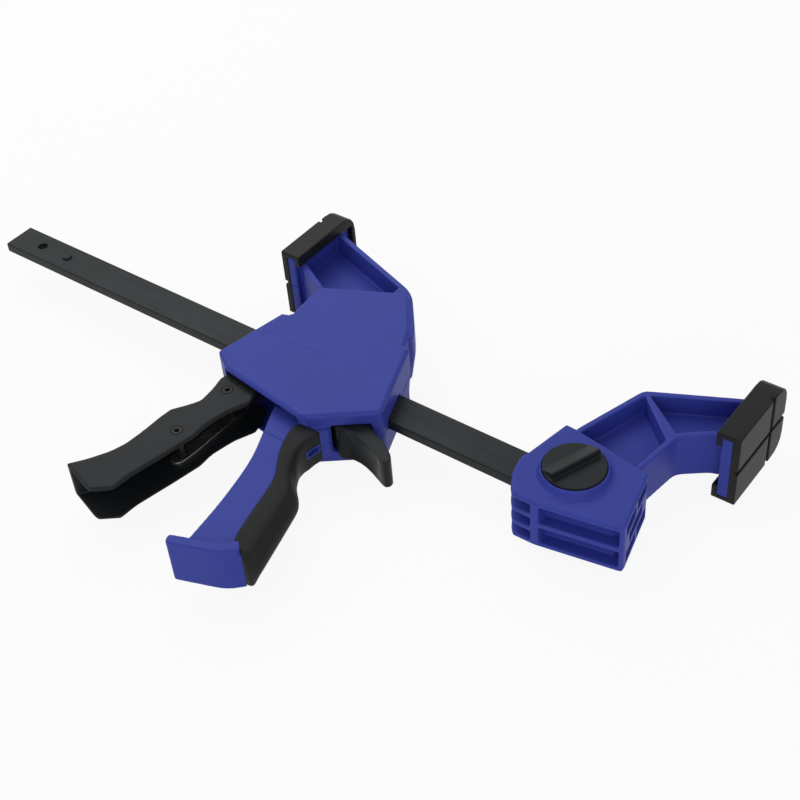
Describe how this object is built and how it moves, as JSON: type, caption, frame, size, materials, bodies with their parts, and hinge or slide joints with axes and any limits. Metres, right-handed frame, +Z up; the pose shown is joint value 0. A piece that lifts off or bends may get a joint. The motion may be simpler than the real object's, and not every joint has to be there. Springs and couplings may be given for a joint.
{
  "type": "quick release bar clamp",
  "caption": "One-handed quick release bar clamp, set up as a spreader: squeeze lever and trigger move one jaw along a flat steel bar.",
  "frame": {"origin": "centre of the hole in the bar's free end, midway through the bar's thickness", "axes": "+X along the bar towards the fixed jaw, +Y from the handle towards the pads, +Z up and square to the bar's wide face"},
  "size_m": [0.4569, 0.2469, 0.0454],
  "materials": {
    "bar_steel": "black-oxide flat bar, faintly brushed along its length",
    "blue_plastic": "satin moulded blue nylon with a fine spark texture",
    "black_plastic": "satin moulded black nylon",
    "grip_rubber": "soft black overmould, matt",
    "pad_rubber": "soft black pad, smooth face",
    "bright_steel": "bright zinc-plated steel",
    "spring_steel": "spring wire",
    "dark_screws": "black-plated steel"
  },
  "bodies": {
    "frame": {"bar": "bar_steel", "bar_stop_pins": "bar_steel", "fixed_jaw": "blue_plastic", "fixed_pad": "pad_rubber", "pin_spring": "spring_steel"},
    "knob": {"jaw_knob": "black_plastic"},
    "lock_pin": {"locking_pin": "bright_steel"},
    "moving_jaw": {"housing_top": "blue_plastic", "housing_bottom": "blue_plastic", "handle_grip_top": "grip_rubber", "handle_grip_bottom": "grip_rubber", "moving_pad": "pad_rubber", "housing_screws": "dark_screws", "lever_pivot_pin": "bright_steel", "trigger_pin": "bright_steel", "drive_spring": "spring_steel", "brake_spring": "spring_steel"},
    "lever": {"squeeze_lever": "black_plastic", "lever_cheek_top": "bright_steel", "lever_cheek_bottom": "bright_steel", "lever_rivets": "dark_screws"},
    "drive": {"drive_plate": "bright_steel"},
    "release": {"release_trigger": "black_plastic", "brake_plate": "bright_steel"}
  },
  "joints": [
    {"name": "jaw_slide", "type": "slide", "parent": "frame", "child": "moving_jaw", "axis": [1, 0, 0], "range_m": [-0.15, 0.072]},
    {"name": "lever_squeeze", "type": "hinge", "parent": "moving_jaw", "child": "lever", "pos_m": [0.2, 0.026, 0], "axis": [0, 0, 1], "range_deg": [0, 20], "stiffness_Nm_per_rad": 0.6, "springref_deg": -20.05},
    {"name": "drive_push", "type": "slide", "parent": "moving_jaw", "child": "drive", "axis": [1, 0, 0], "range_m": [0, 0.0046], "deforming": ["drive_spring"]},
    {"name": "release_press", "type": "hinge", "parent": "moving_jaw", "child": "release", "pos_m": [0.248, -0.023, 0], "axis": [0, 0, 1], "range_deg": [-7, 0], "stiffness_Nm_per_rad": 0.3, "springref_deg": 17.19, "deforming": ["brake_spring"]},
    {"name": "knob_turn", "type": "hinge", "parent": "frame", "child": "knob", "pos_m": [0.376, 0, 0], "axis": [0, 0, 1], "range_deg": [0, 90]},
    {"name": "pin_lift", "type": "slide", "parent": "frame", "child": "lock_pin", "axis": [0, 0, 1], "range_m": [0, 0.006], "deforming": ["pin_spring"]}
  ],
  "couplings": [
    {"joint": "drive_push", "follows": "lever_squeeze", "m_per_rad": 0.013},
    {"joint": "pin_lift", "follows": "knob_turn", "m_per_rad": 0.00381}
  ]
}
